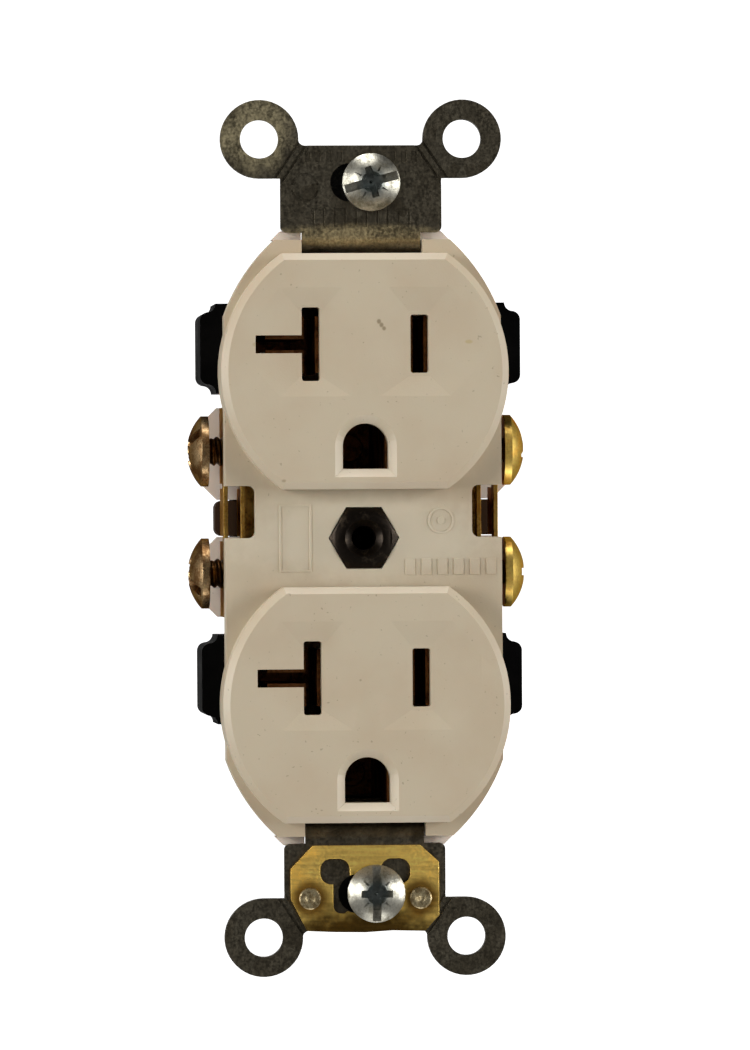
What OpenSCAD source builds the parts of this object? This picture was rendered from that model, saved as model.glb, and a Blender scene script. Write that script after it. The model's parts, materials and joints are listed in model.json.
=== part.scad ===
// Duplex wall outlet: two grounded 20 A outlets on one wrap-around steel strap.
// +X is to the right, +Z is up, and the outlet faces look towards -Y.
// The origin is on the axis of the wall-plate screw, in the plane of the wall.

/* [Overall] */
// Distance between the centres of the two outlet faces
outlet_pitch = 38.9; // [36:0.1:47]
// Width of the cover and of the body behind it
body_w = 32.4; // [30:0.1:40]
// Depth of the body behind the wall
body_depth = 24; // [22:0.1:30]
// Distance of a mounting slot beyond the centre of the outlet next to it
mount_beyond = 22.2; // [21.5:0.1:26]

/* [Cover] */
// Radius of a raised outlet face
face_r = 16.8; // [16:0.1:18]
// Half the height of a face between its flats
face_flat = 13.75; // [12.5:0.05:14.5]
// Width of the bevel round a face
face_bevel = 0.8; // [0.3:0.1:1.2]
// How far a face stands in front of the wall
face_out = 7.3; // [6:0.1:9]
// How far the flange stands in front of the wall
flange_out = 2.8; // [2:0.1:4]
// Thickness of the flange and of a face
cover_t = 2.5; // [1.8:0.1:3]
// How far the cover's skirt reaches behind the wall plane
skirt_back = 1.5; // [1:0.1:3]
// Thickness of the moulded walls
wall = 1.3; // [1:0.1:2]
// Radius of the four shoulders
shoulder_r = 22; // [15:0.5:30]
// How far a shoulder runs in from the side
shoulder_run = 5.9; // [4:0.1:8]
// How far a shoulder drops from the end
shoulder_drop = 8.9; // [6:0.1:11]
// Margin of the flange beyond the end of a face
flange_margin = 1.7; // [1.2:0.1:3]

/* [Slots in the faces] */
// Distance between the two blade slots
blade_pitch = 12.7; // [12:0.1:13.5]
// Height of the blade row above the centre of its face
blade_row = 3.15; // [2:0.05:4]
// Distance from the blade row down to the ground hole
ground_drop = 11.9; // [11:0.1:12.5]
// Width of a blade slot
slot_w = 2.1; // [1.8:0.1:2.5]
// Height of the hot slot
hot_slot_h = 6.8; // [6:0.1:8]
// Height of the neutral slot
neutral_slot_h = 8.6; // [8:0.1:9.5]
// Length of the sideways leg of the neutral slot
leg_len = 5.4; // [4:0.1:6]
// Width of the ground hole
ground_w = 5.3; // [4.9:0.1:5.8]
// Depth of the shallow dishes round the slots
dish_depth = 0.4; // [0.1:0.05:0.6]

/* [Break-off windows] */
// Height of the middle of the windows and of the terminal strips
window_z = 3.1; // [2:0.1:4]
// Height of a window
window_h = 6.1; // [5:0.1:7]
// How far a window cuts in from the side
window_in = 3.5; // [3:0.1:3.8]

/* [Strap] */
// Thickness of the steel strap
strap_t = 1.27; // [1:0.01:1.6]
// Width of the neck, the legs and the rear run
neck_w = 13.9; // [12:0.1:14.5]
// Width of an end plate
plate_w = 18.9; // [18:0.1:22]
// Reach of an end plate beyond its mounting slot
plate_reach = 4.35; // [4:0.05:6]
// Inside radius of the bends
bend_r = 0.8; // [0.5:0.1:1]
// Radius of a break-off ear
ear_r = 4.6; // [4:0.1:5]
// Radius of the hole in an ear
ear_hole_r = 2.25; // [2:0.05:2.5]
// Distance between the two ears of one end
ear_pitch = 23.8; // [23:0.1:27]
// Height of the ears beyond the mounting slot
ear_beyond = 5.1; // [4.5:0.1:6]
// Length of the top and bottom mounting slots
mount_slot_len = [7.2, 6.3];
// Height of the mounting slots
mount_slot_h = 4.5; // [4.2:0.1:5]

/* [Terminals] */
// Thickness of the brass terminal strips
strip_t = 0.5; // [0.4:0.05:0.8]
// Distance of a terminal screw from the middle of the windows
terminal_z = 7.2; // [6.8:0.1:7.4]
// Depth of the terminal screws behind the wall plane
terminal_y = 6.4; // [6:0.1:7]
// Radius of the head of a terminal screw
terminal_head_r = 4.15; // [3.8:0.05:4.3]
// Height of the head of a terminal screw
terminal_head_h = 2.5; // [2:0.1:3]
// Radius of the shank of a terminal screw
terminal_shank_r = 1.75; // [1.5:0.01:2.2]
// Length of the shank of a terminal screw
terminal_shank_len = 6.9; // [6:0.1:7.5]
// Gap under the heads of the hot and neutral screws
terminal_gap = [0.95, 1.6];
// Thickness of the spring brass contacts
contact_t = 0.65; // [0.5:0.05:0.8]

/* [Fasteners] */
// Radius of the head of a mounting screw
mount_head_r = 3.38; // [3:0.02:3.6]
// Height of the head of a mounting screw
mount_head_h = 2.3; // [1.8:0.1:2.6]
// Radius of the shank of a mounting screw
mount_shank_r = 1.7; // [1.6:0.01:1.8]
// Length of the shank of a mounting screw
mount_shank_len = 19; // [16:0.5:26]
// How far the top and bottom mounting screws lie to the right of their slot's middle
mount_offset = [1.17, 1.25];
// Turn of the driver slots of the top and bottom mounting screws
mount_turn = [-15, 90];
// Length of a fibre screw retainer, along its slot
retainer_len = 10; // [9:0.1:11]
// Thickness of a fibre screw retainer
retainer_t = 0.8; // [0.5:0.1:1.2]
// Width across the flats of the hexagonal post
hex_flats = 7.05; // [6.5:0.05:7.5]
// Radius of the tapped hole for the wall-plate screw
tapped_r = 1.4; // [1.3:0.05:1.5]
// Depth of the tapped hole
tapped_depth = 13; // [10:0.5:16]
// Width across the flats of the head of the ground screw
ground_head_flats = 7.9; // [7:0.1:8.5]
// Thickness of the brass ground clip
clip_t = 0.4; // [0.3:0.05:0.6]

/* [Hidden] */
$fn = 96;
// Running clearance of a shank in its tapped hole
running = 0.05;
// Easy clearance between pieces that are put together loosely
easy = 0.15;
// Depth of a screw's undercut below the crests of its thread
thread_depth = 0.35;
// Overrun of a cut beyond the face that it opens
cut = 1;

half_w = body_w / 2;
half_h = outlet_pitch / 2 + face_flat + flange_margin;
outlets = [outlet_pitch / 2, -outlet_pitch / 2];
mount_pitch = outlet_pitch + 2 * mount_beyond;
ground_row = blade_row - ground_drop;
// The faces are hollow from behind
hollow_inset = cover_t - 0.3;
hollow_flat = face_flat - hollow_inset;
slot_corner_r = 0.3;
window_corner_r = 0.8;
// Outline of the dish round a blade slot, from the middle of the slot
dish_outline = [[-4.7, -6.1], [3.6, -6.1], [7, -2.4], [7, 2.4], [3.6, 6.6], [-3.6, 6.6], [-6.2, 0]];
ground_dish_w = 0.95;
// Raised marks on the web: frame, ring and bars, from the middle of the frame
marks_x = -8.05;
mark_h = 0.15;
mark_line = 0.25;
frame_mark = [3.8, 7.9];
ring_mark = [17.1, 2];
ring_mark_r = 1.55;
dot_mark_r = 0.45;
bars_mark = [12.9, -4.35];
bar_size = [1.1, 1.9];
bar_step = 1.9;

// The strap's legs run back just beyond the outer flats of the faces
leg_in = outlet_pitch / 2 + face_flat + easy;
plate_in = half_h + 0.9;
plate_out = mount_pitch / 2 + plate_reach;
plate_corner_r = 0.7;
ear_z = mount_pitch / 2 + ear_beyond;
ear_fillet = 0.7;
score_depth = 0.25;
score_len = 6;
score_line = 0.35;

// Plain stamped marks on the top end plate
stamp_depth = 0.15;
stamp_bar = [0.7, 1.2];
stamp_bar_step = 1.25;
stamp_bar_z = 3;
stamp_ring = [-6.6, -0.6];
stamp_ring_r = 1.7;
stamp_line = 0.3;
stamp_block = [1.5, 2.2];
stamp_block_step = 2.5;
stamp_block_z = 1.7;
score_w = 0.9;
neck_gap = 0.15;

// The body is a little narrower than the cover
body_inset = 0.8;

// The white frame's tray lies across the body behind the terminal screws
tray_front = 12.6;
tray_t = 1.8;
tray_back = tray_front + tray_t;
body_out = half_w - body_inset;
tub_in = body_out - wall;
end_in = leg_in - easy - wall;
frame_ear_out = 1.8;
frame_ear_chamfer = 1.6;
frame_ears = [[1.5, 12.4], [-12.4, -2.9]];
frame_gap = [window_z + frame_ears[1][1] + easy / 2, window_z + frame_ears[0][0] - easy / 2];
arm_x = neck_w / 2 + 0.45;
arm_w = 2.2;
tab_back = 3;
tab_front = 0.2;
tab_slack = 0.05;
arm_foot = 2;
partition_x = 3.3;
partition_t = 0.8;
guide_top = 8.4;

// The terminal strip is folded: an outer wall for the screws and an inner wall
strip_out = half_w - 0.05;
strip_in = strip_out - 2.5;
strip_front = 2;
strip_back = 11.2;
strip_half = 12.5;
fin_gap = 3.1;
lip_w = 1.7;
lip_y = 4.2;
rivet_z = 10.95;
rivet_r = 0.9;
rivet_head_r = 1.35;
rivet_head_h = 0.4;
rivet_edge = 0.15;
notch_front = 5.2;
notch_half = 0.3;

// Contacts: side plate against the strip, bridge across the tray, two leaves at the blade
plate_x = strip_in - 0.1;
blade_gap = 1.3;
leaf_front = -4.3;
leaf_half = 3.3;
// The crossed leaves end short of the slot's sideways leg
cross_short = 0.9;
bridge_back = tray_front - 0.1;
contact_tail_z = 9.5;
contact_start = strip_front + 1;

// Ground contacts stand on the strap's rear run
ground_gap = 4.9;
ground_front = -3.6;
ground_rivet_head_r = 1.7;
ground_rivet_head_h = 0.6;
ground_half = ground_w / 2 + 0.05;
ground_base_back = body_depth - 0.05;

// Pieces on the back
lug_out = 2.65;
lug_h = 8.5;
lug_back = 13.9;
lug_drop = 0.25;
lug_r = 1;
rear_inset = 1.7;
rear_chamfer = 2.2;
window_tab_out = 0.45;
window_tab_h = 4.2;
window_tab_drop = 0.7;
// Wells in the back behind the blade contacts
well_x = 10.2;
well_drop = 3.4;
well_size = [3.2, 14];
well_floor = 3;
post_r = 2.2;
post_tail_r = 1.75;
hex_back = -0.45;
hex_chamfer = 0.5;
countersink_r = 2.2;
boss_r = 5.6;
post_head_r = 2.9;
post_head_h = 0.85;
ground_screw_z = -(outlet_pitch / 2 - ground_row) / 2;
ground_head_h = 2.4;
ground_shank_len = 8.5;
collar_r = terminal_shank_r + 0.9;
collar_h = 1;
ground_driver = [0.6, 1.1];

// Driver recess of a combination screw: a slot and a cross with a small square
slot_reach = 0.42;
cross_half = 0.42;
cross_reach = 0.55;
square_half = 0.85;
recess_floor = 0.25;
square_floor = 0.5;
pit_r = 1.35;
pit_floor = 0.1;
terminal_slot_half = 0.6;
mount_slot_half = 0.5;
// Radial nicks between the arms of a mounting screw's recess
nick_from = 1.4;
nick_to = 2.6;
nick_half = 0.11;
nick_floor = 0.74;
terminal_neck = 0.3;

// Retainers behind the end plates
retainer_gap = 0.1;
retainer_w = 6.8;
retainer_corner_r = 1.2;

// Clip on the bottom end plate
clip_z = -mount_pitch / 2;
clip_rivet = [6.5, -0.55];
clip_rivet_r = 0.9;
clip_rivet_head_r = 1.3;
clip_rivet_head_h = 0.35;
// The rivets end flush in a countersink, so the retainer can slide behind them
clip_rivet_sink = 0.45;
// Dimple that the staking punch leaves in a rivet's head: radius and depth
clip_rivet_dimple = [0.7, 0.22];
// Cut-outs: width, height and corner radius of a lobe and of a leg
clip_lobe = [3.55, 2.6];
clip_lobe_size = [3.5, 3, 1.3];
clip_leg = [2.8, 0.1];
clip_leg_size = [1.95, 4.8, 0.9];
// Outline of the clip from the middle of the mounting slot
clip_outline = [[-8.75, 2.95], [-6.15, 5.65], [6.45, 5.65], [8.65, 3.65], [8.65, -2.6],
    [7, -plate_reach - 0.1], [3.2, -plate_reach], [0, -plate_reach - 0.2],
    [-3.6, -plate_reach - 0.15], [-6.85, -plate_reach], [-8.75, -0.6]];

// ---- Shapes that repeat ----

// A slab between two depths, from an outline drawn in X and Z
module slab(y0, y1) {
    translate([0, y1, 0])
        rotate([90, 0, 0])
            linear_extrude(y1 - y0)
                children();
}

// A slab between two places across the width, from an outline drawn in Y and Z
module side_slab(x0, x1) {
    translate([x0, 0, 0])
        rotate([90, 0, 90])
            linear_extrude(x1 - x0)
                children();
}

// A solid of revolution on an axis along Y, its profile drawn as radius and depth
module lathe(x, z) {
    translate([x, 0, z])
        rotate([-90, 0, 0])
            rotate_extrude()
                children();
}

module round_rect(w, h, r) {
    square([w - 2 * r, h], center = true);
    square([w, h - 2 * r], center = true);
    for (x = [-1, 1], z = [-1, 1])
        translate([x * (w / 2 - r), z * (h / 2 - r)])
            circle(r);
}

// A box from a low corner to a high corner
module block(low, high) {
    translate(low)
        cube(high - low);
}

// The same shape on the hot side (1) or the neutral side (-1)
module on_side(side) {
    mirror([side < 0 ? 1 : 0, 0, 0])
        children();
}

// Outline of the cover and of the body: straight sides, four round shoulders
module shoulder_outline(w, h) {
    chord = norm([shoulder_run, shoulder_drop]);
    reach = sqrt(pow(shoulder_r, 2) - pow(chord / 2, 2)) / chord;
    for (x = [0, 1], z = [0, 1])
        mirror([x, 0])
            mirror([0, z])
                intersection() {
                    square([w, h]);
                    union() {
                        square([w, h - shoulder_drop]);
                        translate([w - shoulder_run / 2 - shoulder_drop * reach,
                                   h - shoulder_drop / 2 - shoulder_run * reach])
                            circle(shoulder_r);
                    }
                }
}

// ---- Cover ----

module face_outline(inset) {
    intersection() {
        circle(face_r - inset);
        square([2 * face_r, 2 * (face_flat - inset)], center = true);
    }
}

// Raised outlet face: a round form and its two flats, both with the same bevel
module face_island() {
    intersection() {
        lathe(0, 0)
            polygon([[0, -face_out], [face_r - face_bevel, -face_out],
                     [face_r, face_bevel - face_out], [face_r, skirt_back], [0, skirt_back]]);
        side_slab(-face_r - cut, face_r + cut)
            polygon([[-face_out, face_bevel - face_flat], [-face_out, face_flat - face_bevel],
                     [face_bevel - face_out, face_flat], [skirt_back, face_flat],
                     [skirt_back, -face_flat], [face_bevel - face_out, -face_flat]]);
    }
}

module ground_outline(grow) {
    r = ground_w / 2 + grow;
    circle(r);
    translate([-r, -r])
        square([2 * r, r]);
}

module blade_slots() {
    translate([blade_pitch / 2, blade_row])
        round_rect(slot_w, hot_slot_h, slot_corner_r);
    translate([-blade_pitch / 2, blade_row])
        round_rect(slot_w, neutral_slot_h, slot_corner_r);
    translate([-blade_pitch / 2 - slot_w / 2 - leg_len, blade_row - slot_w / 2])
        square([leg_len + slot_w / 2, slot_w]);
}

// Shallow dish that leads a blade into its slot
module blade_dish() {
    hull() {
        slab(-face_out - 0.01, -face_out)
            translate([blade_pitch / 2, blade_row])
                polygon(dish_outline);
        slab(-face_out, -face_out + dish_depth)
            translate([blade_pitch / 2, blade_row])
                square([slot_w + dish_depth, neutral_slot_h - 1], center = true);
    }
}

module ground_dish() {
    hull() {
        slab(-face_out - 0.01, -face_out)
            ground_outline(ground_dish_w, $fn = 32);
        slab(-face_out, -face_out + 2 * dish_depth)
            ground_outline(0, $fn = 32);
    }
}

// Raised marks on the web: a plain frame, a plain ring and a row of plain bars
module web_marks() {
    difference() {
        square(frame_mark, center = true);
        square(frame_mark - 2 * [mark_line, mark_line], center = true);
    }
    translate(ring_mark) {
        difference() {
            circle(ring_mark_r);
            circle(ring_mark_r - mark_line);
        }
        circle(dot_mark_r);
    }
    for (i = [0:5])
        translate(bars_mark + [i * bar_step, 0])
            square(bar_size);
}

module front_cover() {
    color([0.80, 0.74, 0.66])
    difference() {
        union() {
            slab(-flange_out, cover_t - flange_out)
                shoulder_outline(half_w, half_h);
            slab(cover_t - flange_out, skirt_back)
                difference() {
                    shoulder_outline(half_w, half_h);
                    shoulder_outline(half_w - wall, half_h - wall);
                }
            for (z = outlets)
                translate([0, 0, z])
                    face_island();
            slab(-flange_out, skirt_back)
                circle(boss_r);
            slab(-flange_out - mark_h, -flange_out)
                translate([marks_x, 0])
                    web_marks();
        }
        for (z = outlets)
            translate([0, 0, z]) {
                slab(cover_t - face_out, skirt_back + cut)
                    face_outline(hollow_inset);
                slab(-face_out - cut, cover_t - face_out + cut)
                    blade_slots();
                slab(-face_out - cut, cover_t - face_out + cut)
                    translate([0, ground_row])
                        ground_outline(0);
                blade_dish();
                on_side(-1)
                    blade_dish();
                translate([0, 0, ground_row])
                    ground_dish();
            }
        // Notches for the strap's necks, at both ends
        for (end = [0, 1])
            mirror([0, 0, end])
                slab(-flange_out - cut, skirt_back + cut)
                    translate([-neck_w / 2 - neck_gap, leg_in - easy])
                        square([neck_w + 2 * neck_gap, half_h]);
        // Break-off windows, open to the sides
        for (side = [-1, 1])
            slab(-flange_out - cut, skirt_back + cut)
                translate([side * (half_w + window_in), window_z])
                    round_rect(4 * window_in, window_h, window_corner_r);
        // Hexagonal pocket and the hole in its floor
        slab(-flange_out - cut, hex_back)
            circle((hex_flats + easy) / sqrt(3), $fn = 6);
        slab(-flange_out, skirt_back + cut)
            circle(post_r + easy);
    }
}

// ---- Terminal frame and back body ----

module frame_ear(low, high) {
    on_side(1)
        slab(tray_front, tray_back)
            translate([0, window_z])
                polygon([[tub_in - 1, low], [half_w, low],
                         [half_w + frame_ear_out - frame_ear_chamfer, low],
                         [half_w + frame_ear_out, low + frame_ear_chamfer],
                         [half_w + frame_ear_out, high - frame_ear_chamfer],
                         [half_w + frame_ear_out - frame_ear_chamfer, high],
                         [tub_in - 1, high]]);
}

module terminal_frame() {
    color([0.87, 0.83, 0.79])
    difference() {
        union() {
            slab(tray_front, tray_back)
                intersection() {
                    shoulder_outline(tub_in - easy, half_h - wall - easy);
                    square([body_w, 2 * (end_in - easy)], center = true);
                }
            for (side = [-1, 1], ear = frame_ears)
                on_side(side)
                    frame_ear(ear[0], ear[1]);
            // Arms to the ends, and the tabs that carry the strap's end plates
            for (side = [-1, 1], end = [0, 1])
                on_side(side)
                    mirror([0, 0, end]) {
                        block([arm_x, tray_front, end_in - arm_foot], [arm_x + arm_w, tray_back, half_h]);
                        block([arm_x, skirt_back + tab_slack, end_in + wall],
                              [arm_x + arm_w, tray_back, half_h]);
                        block([arm_x, skirt_back + tab_slack, half_h - wall],
                              [arm_x + arm_w, tab_back, plate_in]);
                        slab(tab_front, tab_back)
                            polygon([[neck_w / 2 + running, half_h + tab_slack],
                                     [half_w - shoulder_run + tab_front, half_h + tab_slack],
                                     [plate_w / 2, plate_in + tab_front],
                                     [neck_w / 2 + running, plate_in + tab_front]]);
                    }
            // Partitions between the ground and the blade contacts
            for (side = [-1, 1], z = outlets)
                on_side(side)
                    block([partition_x, leaf_front, z + easy - hollow_flat],
                          [partition_x + partition_t, tray_front + 0.1, z + guide_top]);
        }
        // Room for the body's window tabs
        for (side = [-1, 1])
            on_side(side)
                block([strip_in - easy, tray_front - cut, frame_gap[0]],
                      [half_w + cut, tray_back + cut, frame_gap[1]]);
        for (z = outlets)
            block([-partition_x, tray_front - cut, z + ground_row - ground_half - easy],
                  [partition_x, tray_back + cut, z + ground_row + ground_half + easy]);
        slab(tray_front - cut, tray_back + cut)
            circle(post_r + easy);
    }
}

// Lug with a small fillet at each root
module lug_outline() {
    round_rect(2 * lug_out, lug_h, lug_r);
    difference() {
        square([2 * body_inset + 2 * lug_r, lug_h + 2 * lug_r], center = true);
        for (x = [-1, 1], z = [-1, 1])
            translate([x * (body_inset + lug_r), z * (lug_h / 2 + lug_r)])
                circle(lug_r);
    }
}

module back_body() {
    color([0.09, 0.085, 0.09])
    difference() {
        union() {
            slab(skirt_back, tray_back)
                shoulder_outline(body_out, half_h);
            // Rear block, narrower, with chamfered long edges
            intersection() {
                slab(tray_back, body_depth)
                    shoulder_outline(half_w - rear_inset, half_h);
                linear_extrude(4 * half_h, center = true)
                    polygon([[-half_w, 0], [half_w, 0], [half_w, body_depth - 2 * rear_chamfer],
                             [half_w - rear_inset - rear_chamfer, body_depth],
                             [rear_inset + rear_chamfer - half_w, body_depth],
                             [-half_w, body_depth - 2 * rear_chamfer]]);
                side_slab(-half_w, half_w)
                    polygon([[0, -half_h], [body_depth - rear_chamfer, -half_h],
                             [body_depth, rear_chamfer - half_h],
                             [body_depth, half_h - rear_chamfer],
                             [body_depth - rear_chamfer, half_h], [0, half_h]]);
            }
            // Lugs beside the blade slots
            for (side = [-1, 1], z = outlets)
                slab(skirt_back, lug_back)
                    translate([side * half_w, z + blade_row - lug_drop])
                        lug_outline();
        }
        // Hollow in front of the tray
        slab(skirt_back - cut, tray_back)
            intersection() {
                shoulder_outline(tub_in, half_h - wall);
                square([body_w, 2 * end_in], center = true);
            }
        // Side openings for the terminal strips and the frame's ears
        for (side = [-1, 1])
            on_side(side)
                block([tub_in - cut, skirt_back - cut, window_z - strip_half],
                      [half_w + cut, tray_back, window_z + strip_half]);
        // Channels for the frame's arms
        for (side = [-1, 1], end = [0, 1])
            on_side(side)
                mirror([0, 0, end])
                    block([arm_x - easy, skirt_back - cut, end_in - cut],
                          [arm_x + arm_w + easy, tray_back + tab_slack, half_h + cut]);
        // Channels for the strap's legs
        for (end = [0, 1])
            mirror([0, 0, end])
                block([-neck_w / 2 - neck_gap, skirt_back - cut, leg_in - easy],
                      [neck_w / 2 + neck_gap, body_depth + cut, half_h + cut]);
        // Rounded inside corners of the strap's rear bends
        for (end = [0, 1])
            mirror([0, 0, end])
                side_slab(-neck_w / 2 - neck_gap, neck_w / 2 + neck_gap)
                    polygon([[body_depth - bend_r, leg_in], [body_depth + cut, leg_in],
                             [body_depth + cut, leg_in - bend_r - easy - cut]]);
        // Wells for the ground contacts
        for (z = outlets)
            block([-partition_x, tray_back - cut, z + ground_row - ground_half - easy],
                  [partition_x, body_depth + cut, z + ground_row + ground_half + easy]);
        slab(tray_back - cut, body_depth + cut)
            circle(post_r + easy);
        slab(body_depth - ground_shank_len, body_depth + cut)
            translate([0, ground_screw_z])
                circle(terminal_shank_r + easy);
        slab(body_depth - collar_h - easy, body_depth + cut)
            translate([0, ground_screw_z])
                circle(collar_r + easy);
        // Wells that lighten the rear block behind the blade contacts
        for (side = [-1, 1], z = outlets)
            slab(tray_back + well_floor, body_depth + cut)
                translate([side * well_x, z + blade_row - well_drop])
                    round_rect(well_size[0], well_size[1], lug_r);
    }
    // Tabs that close the windows from behind
    color([0.09, 0.085, 0.09])
    for (side = [-1, 1])
        slab(tray_front, tray_back + well_floor)
            translate([side * (strip_in + half_w + window_tab_out) / 2, window_z - window_tab_drop])
                round_rect(half_w + window_tab_out - strip_in, window_tab_h, lug_r - 0.1);
}

// ---- Strap, post and ground path ----

// Quarter of a ring: the section of a bend
module bend_section(y, z, r, ny, nz) {
    translate([y, z])
        intersection() {
            difference() {
                circle(r + strap_t);
                circle(r);
            }
            translate([ny < 0 ? -2 * r - 4 : 0, nz < 0 ? -2 * r - 4 : 0])
                square(2 * r + 4);
        }
}

// Section of the wrap-around strip: neck, bend, leg, bend and rear run
module strap_section() {
    bend_z = leg_in + strap_t + bend_r;
    for (end = [0, 1])
        mirror([0, end]) {
            translate([-strap_t, bend_z])
                square([strap_t, plate_in + 1 - bend_z]);
            bend_section(bend_r, bend_z, bend_r, -1, -1);
            translate([bend_r, leg_in])
                square([body_depth - 2 * bend_r, strap_t]);
            bend_section(body_depth - bend_r, leg_in - bend_r, bend_r, 1, 1);
        }
    translate([body_depth, bend_r - leg_in])
        square([strap_t, 2 * (leg_in - bend_r)]);
}

module mount_slot(len) {
    square([len - mount_slot_h, mount_slot_h], center = true);
    for (x = [-1, 1])
        translate([x * (len - mount_slot_h) / 2, 0])
            circle(mount_slot_h / 2);
}

// Outline of an end plate with its two ears, for the top end
module end_plate(slot_len) {
    difference() {
        union() {
            translate([-plate_w / 2, plate_in])
                square([plate_w, plate_corner_r]);
            translate([-plate_w / 2, plate_in + plate_corner_r])
                square([plate_w, plate_out - plate_in - plate_corner_r]);
            for (side = [0, 1])
                mirror([side, 0]) {
                    translate([ear_pitch / 2, ear_z])
                        circle(ear_r);
                    translate([ear_pitch / 2 - ear_r, ear_z - ear_r])
                        square(ear_r);
                    translate([ear_pitch / 2 - ear_r - ear_fillet, plate_out - 0.01])
                        difference() {
                            square(ear_fillet + 0.01);
                            translate([0, ear_fillet + 0.01])
                                circle(ear_fillet);
                        }
                }
        }
        for (side = [0, 1])
            mirror([side, 0]) {
                translate([ear_pitch / 2, ear_z])
                    circle(ear_hole_r);
                translate([plate_w / 2 - plate_corner_r, plate_in])
                    difference() {
                        translate([0, -cut])
                            square([plate_corner_r + cut, plate_corner_r + cut]);
                        translate([0, plate_corner_r])
                            circle(plate_corner_r);
                    }
            }
        translate([0, mount_pitch / 2])
            mount_slot(slot_len);
    }
}

// Pair of score lines across the root of an ear, where it can be snapped off
module ear_score() {
    inner = ear_pitch / 2 - ear_r - 0.3;
    outer_z = ear_z - ear_r + 0.2;
    translate([(inner + plate_w / 2) / 2, (plate_out + outer_z) / 2])
        rotate(atan2(plate_out - outer_z, inner - plate_w / 2))
            for (edge = [-1, 1])
                translate([0, edge * score_w / 2])
                    square([score_len, score_line], center = true);
}

// Plain stamped marks on the top end plate: a row of bars, a ring and a row of blocks
module strap_marks() {
    for (side = [-1, 1], i = [2:5])
        translate([side * i * stamp_bar_step, mount_pitch / 2 + stamp_bar_z])
            square(stamp_bar, center = true);
    translate([stamp_ring[0], mount_pitch / 2 + stamp_ring[1]])
        difference() {
            circle(stamp_ring_r);
            circle(stamp_ring_r - stamp_line);
            square([2 * stamp_ring_r, 2 * stamp_line], center = true);
        }
    for (i = [-2:2])
        translate([i * stamp_block_step, plate_in + stamp_block_z])
            difference() {
                square(stamp_block, center = true);
                square(stamp_block - 2 * [stamp_line, stamp_line], center = true);
            }
}

module mounting_strap() {
    color([0.45, 0.44, 0.42])
    difference() {
        union() {
            side_slab(-neck_w / 2, neck_w / 2)
                strap_section();
            for (end = [0, 1])
                mirror([0, 0, end])
                    slab(-strap_t, 0)
                        end_plate(mount_slot_len[end]);
            // Collar that gives the ground screw its thread
            slab(body_depth - collar_h, body_depth + strap_t)
                translate([0, ground_screw_z])
                    circle(collar_r);
        }
        for (end = [0, 1], side = [0, 1])
            mirror([0, 0, end])
                mirror([side, 0, 0]) {
                    slab(-strap_t - cut, score_depth - strap_t)
                        ear_score();
                    slab(-score_depth, cut)
                        ear_score();
                }
        slab(body_depth - 2, body_depth + strap_t + cut) {
            circle(post_tail_r + running);
            for (z = outlets)
                translate([0, z + ground_row])
                    circle(rivet_r + running);
            translate([0, ground_screw_z])
                circle(terminal_shank_r + running);
        }
        for (side = [-1, 1])
            lathe(side * clip_rivet[0], clip_z + clip_rivet[1])
                polygon([[0, -strap_t - cut], [clip_rivet_r + running, -strap_t - cut],
                         [clip_rivet_r + running, -clip_rivet_sink],
                         [clip_rivet_r + running + clip_rivet_sink, 0],
                         [clip_rivet_r + running + clip_rivet_sink, cut], [0, cut]]);
        slab(-strap_t - cut, stamp_depth - strap_t)
            strap_marks();
    }
}

module hex_post() {
    front = flange_out + 0.4;
    color([0.12, 0.12, 0.12])
    difference() {
        union() {
            intersection() {
                slab(-front, hex_back)
                    circle(hex_flats / sqrt(3), $fn = 6);
                lathe(0, 0)
                    polygon([[0, -front], [hex_flats / 2 - 0.2, -front],
                             [hex_flats / 2 + 0.6, hex_chamfer - front], [hex_flats / 2 + 0.6, 0], [0, 0]]);
            }
            lathe(0, 0)
                polygon([[0, hex_back - 0.1], [post_r, hex_back - 0.1], [post_r, body_depth - 0.02],
                         [post_tail_r, body_depth - 0.02], [post_tail_r, body_depth + strap_t],
                         [post_head_r, body_depth + strap_t],
                         [post_head_r - 0.3, body_depth + strap_t + 0.6 * post_head_h],
                         [post_head_r - 1.2, body_depth + strap_t + post_head_h],
                         [0, body_depth + strap_t + post_head_h]]);
        }
        lathe(0, 0)
            polygon([[0, -front - cut], [countersink_r, -front - cut], [countersink_r, -front],
                     [tapped_r, countersink_r - tapped_r - front], [tapped_r, tapped_depth - front],
                     [0, tapped_depth - front + tapped_r / sqrt(3)]]);
    }
}

module rivet(profile_r, y0, y1, head_r, head_h) {
    polygon([[0, y0 - head_h], [head_r - rivet_edge, y0 - head_h],
             [head_r, y0 - head_h + rivet_edge], [head_r, y0], [profile_r, y0],
             [profile_r, y1], [head_r, y1], [head_r, y1 + head_h - rivet_edge],
             [head_r - rivet_edge, y1 + head_h], [0, y1 + head_h]]);
}

module ground_contact(z) {
    leaf_x = ground_gap / 2;
    color([0.78, 0.60, 0.30])
    difference() {
        translate([0, 0, z + ground_row]) {
            for (side = [-1, 1])
                on_side(side)
                    block([leaf_x, ground_front, -ground_half],
                          [leaf_x + contact_t, ground_base_back, ground_half]);
            block([-leaf_x - contact_t, ground_base_back - contact_t, -ground_half],
                  [leaf_x + contact_t, ground_base_back, ground_half]);
        }
        lathe(0, z + ground_row)
            translate([0, ground_base_back - contact_t - cut])
                square([rivet_r + running, contact_t + 2 * cut]);
    }
}

module ground_contact_rivets() {
    color([0.78, 0.60, 0.30])
    for (z = outlets)
        lathe(0, z + ground_row)
            rivet(rivet_r, ground_base_back - contact_t, body_depth + strap_t,
                  ground_rivet_head_r, ground_rivet_head_h);
}

// ---- Terminal strips, rivets and blade contacts ----

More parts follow.
